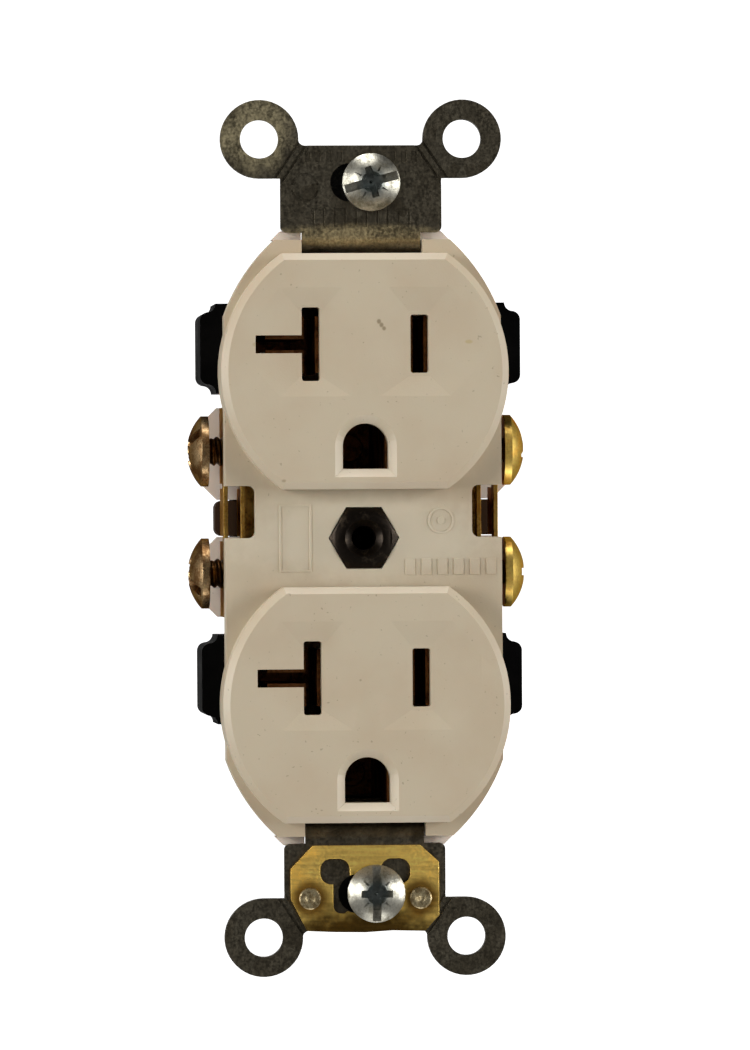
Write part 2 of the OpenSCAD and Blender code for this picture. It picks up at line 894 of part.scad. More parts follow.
module terminal_strip(side) {
    color([0.80, 0.64, 0.30])
    on_side(side)
        difference() {
            translate([0, 0, window_z]) {
                block([strip_out - strip_t, strip_front, -strip_half + easy],
                      [strip_out, strip_back, strip_half - easy]);
                block([strip_in, strip_front, -strip_half + easy],
                      [strip_in + strip_t, strip_back, strip_half - easy]);
                block([strip_in, strip_back - strip_t, -strip_half + easy],
                      [strip_out, strip_back, strip_half - easy]);
                block([strip_in - lip_w, lip_y, -fin_gap - 0.7],
                      [strip_in + 0.1, lip_y + strip_t, fin_gap + 0.7]);
            }
            // The fold is open behind the break-off fin
            block([strip_in - cut, strip_back - strip_t - 0.01, window_z - fin_gap],
                  [strip_out + cut, strip_back + cut, window_z + fin_gap]);
            // Snap-off notches of the outer fin
            for (edge = [-1, 1])
                block([strip_in - lip_w - cut, notch_front, window_z + edge * fin_gap - notch_half],
                      [strip_out + cut, strip_back + cut, window_z + edge * fin_gap + notch_half]);
            for (end = [-1, 1]) {
                side_slab(strip_in - cut, strip_out + cut)
                    translate([terminal_y, window_z + end * terminal_z])
                        circle(terminal_shank_r + running);
                side_slab(strip_in - cut, strip_out - strip_t - 0.2)
                    translate([terminal_y, window_z + end * rivet_z])
                        circle(rivet_r + running);
            }
        }
}

module terminal_rivets() {
    color([0.80, 0.64, 0.30])
    for (side = [-1, 1], end = [-1, 1])
        on_side(side)
            translate([0, terminal_y, window_z + end * rivet_z])
                rotate([0, 90, 0])
                    rotate_extrude()
                        rivet(rivet_r, plate_x - contact_t, strip_in + strip_t, rivet_head_r, rivet_head_h);
}

// Blade contact of one slot: the neutral one also takes a blade that lies across
module blade_contact(side, z, upper) {
    row = z + blade_row;
    tail = window_z + (upper ? contact_tail_z : -contact_tail_z);
    low = min(tail, row - leaf_half);
    high = max(tail, row + leaf_half);
    leaf_in = blade_pitch / 2 - blade_gap / 2;
    leaf_out = blade_pitch / 2 + blade_gap / 2;
    color([0.76, 0.52, 0.28])
    on_side(side)
        difference() {
            union() {
                block([plate_x - contact_t, contact_start, low], [plate_x, bridge_back, high]);
                block([leaf_in - contact_t, bridge_back - contact_t, row - leaf_half],
                      [plate_x, bridge_back, row + leaf_half]);
                for (leaf = [leaf_in - contact_t, leaf_out])
                    block([leaf, leaf_front, row - leaf_half],
                          [leaf + contact_t, bridge_back, row + leaf_half]);
                if (side < 0)
                    for (leaf = [-1, 1])
                        translate([0, 0, row + leaf * (blade_gap + contact_t) / 2])
                            block([leaf_out, leaf_front, -contact_t / 2],
                                  [leaf_out + leg_len - cross_short, bridge_back, contact_t / 2]);
            }
            if (side < 0)
                block([leaf_out - 0.1, leaf_front - cut, row - blade_gap / 2],
                      [leaf_out + contact_t + 0.1, bridge_back - 1.5, row + blade_gap / 2]);
            side_slab(plate_x - contact_t - cut, plate_x + cut)
                translate([terminal_y, window_z + (upper ? rivet_z : -rivet_z)])
                    circle(rivet_r + running);
        }
}

// ---- Screws and small parts ----

// Profile of a screw: domed head from 0 towards -head_h, plain neck, threaded shank to shank_len
module screw_profile(head_r, head_h, shank_r, shank_len, neck_len) {
    rim = 0.35 * head_h;
    dome_r = (pow(head_r, 2) + pow(head_h - rim, 2)) / (2 * (head_h - rim));
    intersection() {
        translate([0, -head_h])
            square([head_r, head_h]);
        translate([0, dome_r - head_h])
            circle(dome_r);
    }
    neck_r = shank_r - thread_depth;
    polygon([[0, -rim], [neck_r, -rim], [neck_r, neck_len], [shank_r, neck_len],
             [shank_r, shank_len - 0.5], [shank_r - 0.5, shank_len], [0, shank_len]]);
}

// Screw along +Y, its head's underside in the plane y = 0
module combination_screw(head_r, head_h, shank_r, shank_len, neck_len, slot_half, turn) {
    difference() {
        lathe(0, 0)
            screw_profile(head_r, head_h, shank_r, shank_len, neck_len);
        rotate([0, turn, 0]) {
            block([-head_r - cut, -head_h - cut, -slot_half],
                  [head_r + cut, -slot_reach * head_h, slot_half]);
            for (arm = [[cross_half, cross_reach * head_r], [cross_reach * head_r, cross_half]])
                block([-arm[0], -head_h - cut, -arm[1]], [arm[0], -recess_floor * head_h, arm[1]]);
            rotate([0, 45, 0])
                block([-square_half, -head_h - cut, -square_half],
                      [square_half, -square_floor * head_h, square_half]);
            lathe(0, 0)
                polygon([[0, -head_h - cut], [pit_r, -head_h - cut], [pit_r, -head_h],
                         [0, -pit_floor * head_h]]);
        }
    }
}

function terminal_turn(side, end) = side < 0 ? 35 * end : (end > 0 ? 65 : 90);

module terminal_screw(side, end) {
    gap = terminal_gap[side < 0 ? 1 : 0];
    color(side < 0 ? [0.62, 0.58, 0.50] : [0.80, 0.62, 0.25])
    on_side(side)
        translate([strip_out + gap, terminal_y, window_z + end * terminal_z])
            rotate([0, 0, 90])
                combination_screw(terminal_head_r, terminal_head_h, terminal_shank_r,
                                  terminal_shank_len, terminal_neck, terminal_slot_half,
                                  terminal_turn(side, end));
}

module ground_screw() {
    seat = body_depth + strap_t + 0.1;
    color([0.16, 0.42, 0.20])
    translate([0, seat, ground_screw_z])
        difference() {
            union() {
                slab(0, ground_head_h)
                    circle(ground_head_flats / sqrt(3), $fn = 6);
                lathe(0, 0)
                    polygon([[0, -ground_shank_len], [terminal_shank_r - 0.5, -ground_shank_len],
                             [terminal_shank_r, 0.5 - ground_shank_len], [terminal_shank_r, 0.01], [0, 0.01]]);
            }
            block([-ground_head_flats, ground_head_h - ground_driver[1], -ground_driver[0]],
                  [ground_head_flats, ground_head_h + cut, ground_driver[0]]);
        }
}

module mounting_screw(i) {
    sign = i == 0 ? 1 : -1;
    seat = -strap_t - (i == 0 ? 0 : clip_t) - 0.05;
    color([0.66, 0.70, 0.74])
    translate([mount_offset[i], seat, sign * mount_pitch / 2])
        difference() {
            combination_screw(mount_head_r, mount_head_h, mount_shank_r, mount_shank_len,
                              strap_t + clip_t + retainer_t + 0.4, mount_slot_half, mount_turn[i]);
            for (turn = [45:90:315])
                rotate([0, mount_turn[i] + turn, 0])
                    block([nick_from, -mount_head_h - cut, -nick_half],
                          [nick_to, -nick_floor * mount_head_h, nick_half]);
        }
}

module screw_retainer(i) {
    sign = i == 0 ? 1 : -1;
    color([0.55, 0.36, 0.22])
    translate([mount_offset[i], 0, sign * mount_pitch / 2])
        slab(retainer_gap, retainer_gap + retainer_t)
            difference() {
                round_rect(retainer_len, retainer_w, retainer_corner_r);
                circle(mount_shank_r + running);
            }
}

// Cut-out of the clip: a lobe and a leg beside the tongue
module clip_cutout() {
    translate(clip_lobe)
        round_rect(clip_lobe_size[0], clip_lobe_size[1], clip_lobe_size[2]);
    translate(clip_leg)
        round_rect(clip_leg_size[0], clip_leg_size[1], clip_leg_size[2]);
}

module ground_clip() {
    color([0.80, 0.68, 0.34])
    translate([0, 0, clip_z])
        slab(-strap_t - clip_t, -strap_t)
            difference() {
                polygon(clip_outline);
                for (side = [0, 1])
                    mirror([side, 0])
                        clip_cutout();
                mount_slot(mount_slot_len[1] + 0.4);
                for (side = [-1, 1])
                    translate([side * clip_rivet[0], clip_rivet[1]])
                        circle(clip_rivet_r + running);
            }
}

// Rivet with a flat head in front of the clip and a flush tail in the strap's countersink
module flush_rivet(seat) {
    head = seat - clip_rivet_head_h;
    polygon([[0, head + clip_rivet_dimple[1]], [clip_rivet_dimple[0], head],
             [clip_rivet_head_r - rivet_edge, head],
             [clip_rivet_head_r, head + rivet_edge], [clip_rivet_head_r, seat],
             [clip_rivet_r, seat], [clip_rivet_r, -clip_rivet_sink],
             [clip_rivet_r + clip_rivet_sink - running, -running], [0, -running]]);
}

module ground_clip_rivets() {
    color([0.68, 0.66, 0.60])
    for (side = [-1, 1])
        lathe(side * clip_rivet[0], clip_z + clip_rivet[1])
            flush_rivet(-strap_t - clip_t);
}

front_cover();
terminal_frame();
back_body();
mounting_strap();
hex_post();
terminal_strip(-1);  // neutral_terminal_strip
terminal_strip(1);  // hot_terminal_strip
terminal_rivets();
blade_contact(-1, outlets[0], true);  // neutral_contact_upper
blade_contact(-1, outlets[1], false);  // neutral_contact_lower
blade_contact(1, outlets[0], true);  // hot_contact_upper
blade_contact(1, outlets[1], false);  // hot_contact_lower
ground_contact(outlets[0]);  // ground_contact_upper
ground_contact(outlets[1]);  // ground_contact_lower
ground_contact_rivets();
terminal_screw(-1, 1);  // neutral_screw_upper
terminal_screw(-1, -1);  // neutral_screw_lower
terminal_screw(1, 1);  // hot_screw_upper
terminal_screw(1, -1);  // hot_screw_lower
ground_screw();
ground_clip();
ground_clip_rivets();
mounting_screw(0);  // mounting_screw_top
mounting_screw(1);  // mounting_screw_bottom
screw_retainer(0);  // screw_retainer_top
screw_retainer(1);  // screw_retainer_bottom
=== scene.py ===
# %% [markdown]
# # A duplex wall outlet
# The outlet hangs in its own frame: +X to the right, +Z up, and its two faces look towards -Y.
# Everything is in metres. The frame holds every part at its real size, so this lesson is about
# looks: soft edges, screw threads, and a procedural finish for each kind of plastic and metal.

# %% Load the frame
import json
import math
import bmesh
import bpy
import numpy as np
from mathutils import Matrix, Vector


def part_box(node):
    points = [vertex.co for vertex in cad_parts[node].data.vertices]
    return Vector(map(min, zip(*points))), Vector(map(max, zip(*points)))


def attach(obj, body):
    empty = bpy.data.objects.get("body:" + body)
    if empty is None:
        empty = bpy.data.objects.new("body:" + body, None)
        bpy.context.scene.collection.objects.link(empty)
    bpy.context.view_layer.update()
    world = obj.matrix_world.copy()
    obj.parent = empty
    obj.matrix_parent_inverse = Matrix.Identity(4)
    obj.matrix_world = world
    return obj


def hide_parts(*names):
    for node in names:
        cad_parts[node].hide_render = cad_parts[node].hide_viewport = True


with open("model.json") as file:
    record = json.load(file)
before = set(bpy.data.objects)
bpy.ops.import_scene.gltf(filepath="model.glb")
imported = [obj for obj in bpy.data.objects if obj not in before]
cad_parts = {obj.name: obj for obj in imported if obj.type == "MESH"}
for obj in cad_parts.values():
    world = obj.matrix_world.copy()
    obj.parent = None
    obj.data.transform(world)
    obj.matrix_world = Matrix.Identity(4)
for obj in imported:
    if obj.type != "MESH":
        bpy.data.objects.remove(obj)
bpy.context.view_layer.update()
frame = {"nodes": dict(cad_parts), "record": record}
MM = 0.001

# %% [markdown]
# ## The camera and the light
# A long lens a little to the left of straight on shows the faces almost flat, as a catalogue does.
# A large sweep stands behind and below, white only right behind the outlet, and the room in front
# is dim: that dim front makes flat sheet steel look dark while bevels catch the light from above.

# %% Camera
CAMERA_DISTANCE = 0.95
CAMERA_AZIMUTH = math.radians(-4.0)
CAMERA_ROLL = math.radians(0.35)
AIM = np.array([1.5, 0.0, 1.5]) * MM
VIEW_HEIGHT = 123.2 * MM
SENSOR = 36.0

away = np.array([math.sin(CAMERA_AZIMUTH), -math.cos(CAMERA_AZIMUTH), 0.0])
camera_data = bpy.data.cameras.new("camera")
camera_data.sensor_width = SENSOR
camera_data.lens = SENSOR * CAMERA_DISTANCE / VIEW_HEIGHT
camera = bpy.data.objects.new("camera", camera_data)
camera.location = AIM + away * CAMERA_DISTANCE
camera.rotation_euler = (math.pi / 2, CAMERA_ROLL, CAMERA_AZIMUTH)
bpy.context.collection.objects.link(camera)
bpy.context.scene.camera = camera
bpy.context.scene.view_settings.view_transform = "Standard"
print("lens in mm:", round(camera_data.lens, 1))

# %% [markdown]
# ## Shader maths as Python
# A shader is a graph of small nodes. Two short classes make it readable: Value wraps a socket so
# that + - * build Math nodes, and Shader adds any other node from its type, its settings and the
# values of its sockets.

# %% Shader helpers
class Value:
    """A shader socket that takes part in arithmetic: each operator adds one Math node."""

    def __init__(self, shader, socket):
        self.shader, self.socket = shader, socket

    def math(self, operation, other):
        return self.shader.node("ShaderNodeMath", {"operation": operation}, {0: self, 1: other})

    def __add__(self, other):
        return self.math("ADD", other)

    def __sub__(self, other):
        return self.math("SUBTRACT", other)

    def __mul__(self, other):
        return self.math("MULTIPLY", other)

    def greater(self, other):
        """The greater of this value and another."""
        return self.math("MAXIMUM", other)

    __radd__ = __add__


def linear(red, green, blue):
    """A display colour of 0 to 255 as the linear colour that a shader mixes."""
    parts = np.array([red, green, blue]) / 255
    mixed = np.where(parts <= 0.04045, parts / 12.92, ((parts + 0.055) / 1.055) ** 2.4)
    return (*mixed.tolist(), 1.0)


WOBBLE_GRAIN = 0.0014


class Shader:
    """One material: a Principled surface whose varying inputs are Values."""

    def __init__(self, name, **constants):
        self.material = bpy.data.materials.new(name)
        self.material.use_nodes = True
        self.tree = self.material.node_tree
        self.surface = self.tree.nodes["Principled BSDF"]
        for socket, value in constants.items():
            self.surface.inputs[socket.replace("_", " ")].default_value = value
        self.place = self.node("ShaderNodeTexCoord", output="Object")

    def node(self, kind, settings=None, inputs=None, output=0):
        """Adds a node with its settings and inputs, each a Value or a constant; returns one output."""
        node = self.tree.nodes.new(kind)
        for key, value in (settings or {}).items():
            setattr(node, key, value)
        for key, value in (inputs or {}).items():
            if isinstance(value, Value):
                self.tree.links.new(value.socket, node.inputs[key])
            else:
                node.inputs[key].default_value = value
        return Value(self, node.outputs[output])

    def noise(self, grain, detail=3.0, rough=0.5, stretch=(1, 1, 1), shift=0.0):
        """Cloudy noise whose lumps are about grain metres across, stretched along an axis."""
        place = self.node("ShaderNodeMapping", inputs={"Vector": self.place, "Scale": stretch,
                                                       "Location": (shift, shift, shift)})
        return self.node("ShaderNodeTexNoise",
                         inputs={"Vector": place, "Scale": 1 / grain, "Detail": detail, "Roughness": rough})

    def cells(self, grain):
        """The random colours of Voronoi cells about grain metres across."""
        return self.node("ShaderNodeTexVoronoi", {"feature": "F1"},
                         {"Vector": self.place, "Scale": 1 / grain}, "Color")

    def near(self, centre, size, inner, outer, wobble=0.0):
        """One inside an ellipsoid of half sizes inner * size round a centre, none beyond outer * size.

        Centre and size are in millimetres; wobble roughens the border with noise."""
        scale = [1 / (part * MM) for part in size]
        shift = [-part * MM * factor for part, factor in zip(centre, scale)]
        place = self.node("ShaderNodeMapping",
                          inputs={"Vector": self.place, "Scale": scale, "Location": shift})
        reach = self.node("ShaderNodeVectorMath", {"operation": "LENGTH"}, {0: place}, output="Value")
        if wobble:
            reach = reach + (self.noise(WOBBLE_GRAIN, detail=4, shift=5.5) - 0.5) * wobble
        return self.ramp(reach, inner, outer, 1.0, 0.0)

    def ramp(self, value, low, high, to_low=0.0, to_high=1.0):
        """Stretches low..high of a value to to_low..to_high, and clips it there."""
        return self.node("ShaderNodeMapRange", {"clamp": True, "interpolation_type": "SMOOTHSTEP"},
                         {"Value": value, "From Min": low, "From Max": high,
                          "To Min": to_low, "To Max": to_high})

    def mix(self, factor, first, second, blend="MIX"):
        """Mixes two colours."""
        return self.node("ShaderNodeMix", {"data_type": "RGBA", "blend_type": blend, "clamp_factor": True},
                         {0: factor, 6: first, 7: second}, output=2)

    def feed(self, **inputs):
        """Links varying inputs of the surface, such as Base_Color or Roughness."""
        for socket, value in inputs.items():
            self.tree.links.new(value.socket, self.surface.inputs[socket.replace("_", " ")])
        return self.material

    def bump(self, height, depth):
        """A normal that rises and falls with height, depth metres high."""
        return self.node("ShaderNodeBump", output="Normal",
                         inputs={"Height": height, "Distance": depth, "Strength": 1.0})


# %% [markdown]
# ## Moulded nylon
# The cover is ivory nylon: warm, a little glossy and slightly translucent. A moulding is never
# quite even, so broad clouds shift its colour by a few per cent, fine grain roughens the gloss,
# and a few dust specks and handling scuffs sit on it.

# %% Nylon materials
CLOUD_SIZE = 0.011
GLOSS_GRAIN = 0.00022
FLECK_GRAIN = 0.00042
RUB_GRAIN = 0.0009
MARK_TINT = (92, 78, 60)
NYLON_PITS = 0.000012


def nylon(name, colour, dirt, roughness, specks=1.0, scuffs_and_painted_light=()):
    """Nylon: a base colour with broad clouds, fine grain in the gloss, and sparse dark specks.

    The roughness is its constant plus a part of the grain and of the cloud, each less its mean.
    A scuff is one rubbed place and a place of painted light is one lightened place; each is (centre, size,
    colour, amount), in millimetres."""
    shader = Shader(name, IOR=1.53, Subsurface_Weight=0.06, Subsurface_Scale=0.0012)
    cloud = shader.noise(CLOUD_SIZE, detail=4, rough=0.55)
    grain = shader.noise(GLOSS_GRAIN, detail=2)
    base = shader.mix(shader.ramp(cloud, 0.35, 0.68), linear(*colour), linear(*dirt))
    fleck = shader.ramp(shader.noise(FLECK_GRAIN, detail=1, rough=0.3, shift=3.1), 0.75, 0.81, 0.0, 0.45)
    rub = shader.ramp(shader.noise(RUB_GRAIN, detail=5, rough=0.7, stretch=(0.5, 1, 2.2), shift=7.7),
                      0.685, 0.74, 0.0, 0.3)
    marks = (fleck * specks).greater(rub * specks)
    base = shader.mix(marks, base, linear(*MARK_TINT))
    for centre, size, tint, amount in scuffs_and_painted_light:
        base = shader.mix(shader.near(centre, size, 0.5, 1.15, wobble=0.4) * amount, base, linear(*tint))
    gloss = roughness + (grain - 0.5) * 0.12 + (cloud - 0.5) * 0.10
    return shader.feed(Base_Color=base, Roughness=gloss, Normal=shader.bump(grain, NYLON_PITS))


SCUFF_TINT = (124, 106, 78)
SCUFFS = [((1.6, -7.3, 25.2), (0.30, 1, 0.34), SCUFF_TINT, 0.75),
          ((1.9, -7.3, 24.8), (0.30, 1, 0.34), SCUFF_TINT, 0.75),
          ((2.2, -7.3, 24.4), (0.28, 1, 0.30), SCUFF_TINT, 0.75),
          ((12.1, -7.3, 22.8), (0.5, 1, 0.25), (176, 156, 108), 0.6),
          ((-12.8, -7.3, 22.6), (0.4, 1, 0.3), (168, 148, 104), 0.5),
          ((-9.6, -7.0, 6.7), (0.3, 1, 0.2), SCUFF_TINT, 0.5)]
# Painted light: the web between the two faces is painted lighter, against the shadow that the faces cast on
# it.
WEB_PAINTED_LIGHT = [((0, -2.8, 0), (17.5, 1.2, 6.0), (214, 202, 178), 0.9)]
ivory = nylon("ivory_nylon", (195, 181, 156), (190, 173, 147), 0.42, specks=0.8,
              scuffs_and_painted_light=WEB_PAINTED_LIGHT + SCUFFS)
white = nylon("white_nylon", (232, 218, 204), (226, 210, 194), 0.45, specks=0.5)
print("nylon materials:", ivory.name, white.name)

# %% [markdown]
# The body behind the cover is black nylon with glass in it: nearly black, with a faint dusty
# bloom and fine pits. In the two windows it is painted a warm brown, a painted reflection of the brass.

# %% Black moulding
# Painted reflection: a warm brown on the black nylon in each window stands for light off the brass.
WINDOW_PAINTED_REFLECTION = [((x, 4.0, 3.1), (9.0, 14.0, 8.0), (62, 45, 32)) for x in (-17.0, 17.0)]


def black_moulding():
    """Black nylon: a dusty bloom in clouds, and fine pits in the gloss.

    A painted reflection is (centre, size, colour): a place painted warm, as if lit by the brass beside it."""
    shader = Shader("black_nylon", IOR=1.5, Specular_IOR_Level=0.04)
    bloom = shader.noise(0.006, detail=5, rough=0.6)
    pits = shader.noise(0.00025, detail=3)
    base = shader.mix(shader.ramp(bloom, 0.4, 0.75), linear(1, 1, 1), linear(7, 6, 6))
    for centre, size, tint in WINDOW_PAINTED_REFLECTION:
        base = shader.mix(shader.near(centre, size, 0.8, 1.0), base, linear(*tint))
    return shader.feed(Base_Color=base, Roughness=0.5 + (bloom - 0.4) * 0.5,
                       Normal=shader.bump(pits, 0.00002))


black = black_moulding()

# %% [markdown]
# ## Sheet steel and brass
# The strap is galvanised sheet: a patchwork of zinc crystals that dulls to a brownish grey, with
# oily dark clouds, rolling marks and two lighter patches of painted sheen, on the top-left ear and
# the neck bend. Brass is smoother: straight rolling lines, and a tarnish that deepens in clouds.

# %% Metal materials
CRYSTAL_SIZE = 0.0021
CRYSTAL_TINT = (140, 134, 118)


def metal(name, bright, dull, roughness, cloud_size, grain_size, lines=0.0, axis=(1, 1, 1), spangle=0.0,
          tarnish=(0.42, 0.66), pit_depth=0.000006, patches=(), edge=(255, 255, 255), mottle=0.05):
    """Metal: bright and dull colours in clouds, fine grain, rolling lines along one axis, crystals.

    Tarnish is the range of cloud and grain over which bright turns to dull. A patch is (centre,
    size, inner, outer, colour, amount), in millimetres: a place painted another colour, used here for
    painted sheen, painted shade and the clip's darker bottom edge. The edge colour tints what the
    metal mirrors at a glancing angle, and mottle is the strength of the grain."""
    shader = Shader(name, Metallic=1.0, Specular_Tint=linear(*edge))
    cloud = shader.noise(cloud_size, detail=6, rough=0.62)
    grain = shader.noise(grain_size, detail=3, rough=0.6)
    line = shader.noise(grain_size * 1.4, detail=3, rough=0.55, stretch=axis, shift=2.3)
    dullness = shader.ramp(cloud + (grain - 0.5) * 0.35, *tarnish)
    base = shader.mix(dullness, linear(*bright), linear(*dull))
    if spangle:
        crystal = shader.node("ShaderNodeSeparateColor", inputs={0: shader.cells(CRYSTAL_SIZE)})
        base = shader.mix(crystal * spangle, base, linear(*CRYSTAL_TINT))
    for centre, size, inner, outer, colour, amount in patches:
        cover = shader.near(centre, size, inner, outer, wobble=0.5) * amount
        base = shader.mix(cover, base, linear(*colour))
    tone = shader.ramp(line, 0.25, 0.75, 0.86, 1.12) * shader.ramp(grain, 0.3, 0.7, 1 - mottle, 1 + mottle)
    grey = shader.node("ShaderNodeCombineColor", inputs={part: tone for part in ("Red", "Green", "Blue")})
    base = shader.mix(1.0, base, grey, "MULTIPLY")
    height = grain + line * lines
    gloss = roughness + (grain - 0.5) * 0.2 + dullness * 0.14 + (line - 0.5) * 0.12
    return shader.feed(Base_Color=base, Roughness=gloss, Normal=shader.bump(height, pit_depth))


# Painted highlight: the strap's two patches paint a lighter sheen on the top-left ear and on the neck bend.
steel = metal("galvanised_steel", (118, 110, 93), (73, 67, 55), 0.33, 0.0045, 0.00028,
              lines=0.6, axis=(1, 1, 0.2), spangle=0.25, tarnish=(0.36, 0.60), pit_depth=0.000018, mottle=0.3,
              patches=[((-12.6, -1.3, 47.6), (5.6, 3, 5.6), 0.5, 1.0, (176, 164, 130), 0.8),
                       ((0, -0.6, 35.5), (9, 2.2, 1.1), 0.6, 1.5, (176, 160, 122), 0.85)])
# Painted shade: a dark amber ring round each rivet of the ground clip stands for the shade in the dimple
# round it.
RIVET_DIMPLE_SHADE = [((x, -1.7, -42.2), (1, 1, 1), 1.5, 2.7, (128, 88, 30), 0.85) for x in (-6.5, 6.5)]
# The clip's first patch darkens it to an amber brown towards its bottom edge.
clip_brass = metal("clip_brass", (255, 216, 116), (236, 188, 86), 0.45, 0.006, 0.00025,
                   lines=1.0, axis=(0.08, 1, 1), tarnish=(0.45, 0.75),
                   patches=[((0, -1.7, -48), (14, 6, 6.6), 0.45, 1.0, (66, 42, 9), 0.95)] + RIVET_DIMPLE_SHADE)
strip_brass = metal("brass_strip", (220, 176, 92), (158, 112, 46), 0.34, 0.004, 0.0003,
                    lines=1.0, axis=(1, 1, 0.08), edge=(150, 110, 50))
# Painted shade: the contact brass is made darker, since it is seen only down in the slots, where shade falls.
contact_brass = metal("contact_brass", (150, 98, 56), (84, 52, 30), 0.36, 0.004, 0.0003,
                      lines=0.8, axis=(1, 0.1, 1))
HEAD_SHADE = [((x, 6.4, z), (0.5, 4.4, 4.4), 0.86, 1.0, (58, 36, 14), 0.9)
              for x, z in ((17.1, 10.3), (17.1, -4.1), (-17.75, 10.3), (-17.75, -4.1))]
brass_plate = metal("brass_plate", (255, 216, 116), (222, 168, 72), 0.38, 0.0022, 0.0002,
                    tarnish=(0.48, 0.78), patches=HEAD_SHADE, edge=(200, 150, 70))
nickel_plate = metal("nickel_plate", (200, 168, 124), (116, 86, 54), 0.29, 0.0024, 0.0002,
                     tarnish=(0.40, 0.62), patches=HEAD_SHADE, edge=(150, 120, 84))
# The threads of the terminal screws are a darker brown metal than their heads.
dark_thread = metal("dark_thread", (122, 90, 54), (62, 42, 22), 0.36, 0.0012, 0.0002)
DRIVER_SHADE = [((x, -2.6, z), (2.1, 3.0, 2.1), 0.5, 1.0, (96, 112, 116), 0.7)
                for x, z in ((1.17, 41.65), (1.25, -41.65))]
zinc_plate = metal("zinc_plate", (190, 187, 174), (124, 120, 106), 0.33, 0.0018, 0.00018,
                   tarnish=(0.40, 0.68), patches=DRIVER_SHADE)
rivet_steel = metal("rivet_steel", (196, 180, 142), (122, 106, 76), 0.38, 0.0009, 0.0002,
                    tarnish=(0.4, 0.6), pit_depth=0.00003)
print("materials so far:", len(bpy.data.materials))

# %% [markdown]
# The hexagonal post is steel blackened in an oxide bath, so it is a dark, oily semi-gloss. The
# ground screw is dyed green over its zinc, and the screw retainers are pressed vulcanised fibre.

# %% Coated materials
COAT_GRAIN = 0.0003


def coated(name, colour, worn, roughness, metallic):
    """A thin coat over metal: rubbed lighter in small clouds."""
    shader = Shader(name, Metallic=metallic)
    cloud = shader.noise(0.0016, detail=6, rough=0.65)
    grain = shader.noise(COAT_GRAIN, detail=3)
    base = shader.mix(shader.ramp(cloud, 0.52, 0.72, 0.0, 0.8), linear(*colour), linear(*worn))
    return shader.feed(Base_Color=base, Roughness=roughness + (grain - 0.5) * 0.25,
                       Normal=shader.bump(grain, 0.000008))


black_oxide = coated("black_oxide", (38, 32, 26), (92, 80, 66), 0.34, 0.9)
green_coat = coated("green_coat", (40, 112, 56), (120, 150, 96), 0.3, 0.75)


def fibre_board():
    """Vulcanised fibre: matted strands that run every way."""
    shader = Shader("fibre", IOR=1.45)
    strands = shader.noise(0.0004, detail=6, rough=0.75, stretch=(0.35, 1, 1))
    base = shader.mix(shader.ramp(strands, 0.35, 0.65), linear(30, 26, 22), linear(14, 12, 11))
    return shader.feed(Base_Color=base, Roughness=0.62 + strands * 0.2,
                       Normal=shader.bump(strands, 0.00004))


fibre = fibre_board()

FINISHES = {
    "front_cover": ivory, "terminal_frame": white, "back_body": black, "mounting_strap": steel,
    "hex_post": black_oxide, "neutral_terminal_strip": strip_brass, "hot_terminal_strip": strip_brass,
    "terminal_rivets": strip_brass, "neutral_contact_upper": contact_brass,
    "neutral_contact_lower": contact_brass, "hot_contact_upper": contact_brass,
    "hot_contact_lower": contact_brass, "ground_contact_upper": contact_brass,
    "ground_contact_lower": contact_brass, "ground_contact_rivets": contact_brass,
    "neutral_screw_upper": nickel_plate, "neutral_screw_lower": nickel_plate,
    "hot_screw_upper": brass_plate, "hot_screw_lower": brass_plate, "ground_screw": green_coat,
    "ground_clip": clip_brass, "ground_clip_rivets": rivet_steel, "mounting_screw_top": zinc_plate,
    "mounting_screw_bottom": zinc_plate, "screw_retainer_top": fibre, "screw_retainer_bottom": fibre,
}
for name, finish in FINISHES.items():
    mesh = frame["nodes"][name].data
    mesh.materials.clear()
    mesh.materials.append(finish)
print("finished nodes:", len(FINISHES))

# %% [markdown]
# ## Soft edges
# A sharp mathematical edge never catches light, and no real moulding or stamping has one. Each
# visible part is a copy of its frame mesh, joined up, cleaned of needless edges on its flats and
# rounded by a Bevel modifier. The copy rides on the same body and stands in for the node.

# %% Soft-edged copies
BODY_OF = {node: body for body, nodes in frame["record"]["behaviour"]["bodies"].items() for node in nodes}
SMOOTH_ANGLE = math.radians(32)
FLAT_ANGLE = math.radians(0.6)
MERGE_DISTANCE = 2e-6
ON_PLANE = 1e-7


def merged_copy(node, keep=None):
    """The node's mesh with its doubles merged; keep is a (point, normal) plane that cuts the rest off."""
    shape = bmesh.new()
    shape.from_mesh(frame["nodes"][node].data)
    bmesh.ops.remove_doubles(shape, verts=shape.verts, dist=MERGE_DISTANCE)
    if keep:
        geometry = shape.verts[:] + shape.edges[:] + shape.faces[:]
        cut = bmesh.ops.bisect_plane(shape, geom=geometry, plane_co=keep[0], plane_no=keep[1],
                                     dist=ON_PLANE, clear_inner=True)
        rim = [piece for piece in cut["geom_cut"] if isinstance(piece, bmesh.types.BMEdge)]
        bmesh.ops.contextual_create(shape, geom=rim)
    bmesh.ops.dissolve_limit(shape, angle_limit=FLAT_ANGLE, verts=shape.verts, edges=shape.edges)
    return shape


def add_piece(name, mesh, body, nodes, finish):
    """Links a finished mesh as a piece that rides on a body and stands for some nodes."""
    piece = bpy.data.objects.new(name, mesh)
    bpy.context.collection.objects.link(piece)
    mesh.materials.clear()
    mesh.materials.append(finish)
    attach(piece, body)
    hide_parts(*nodes)
    return piece


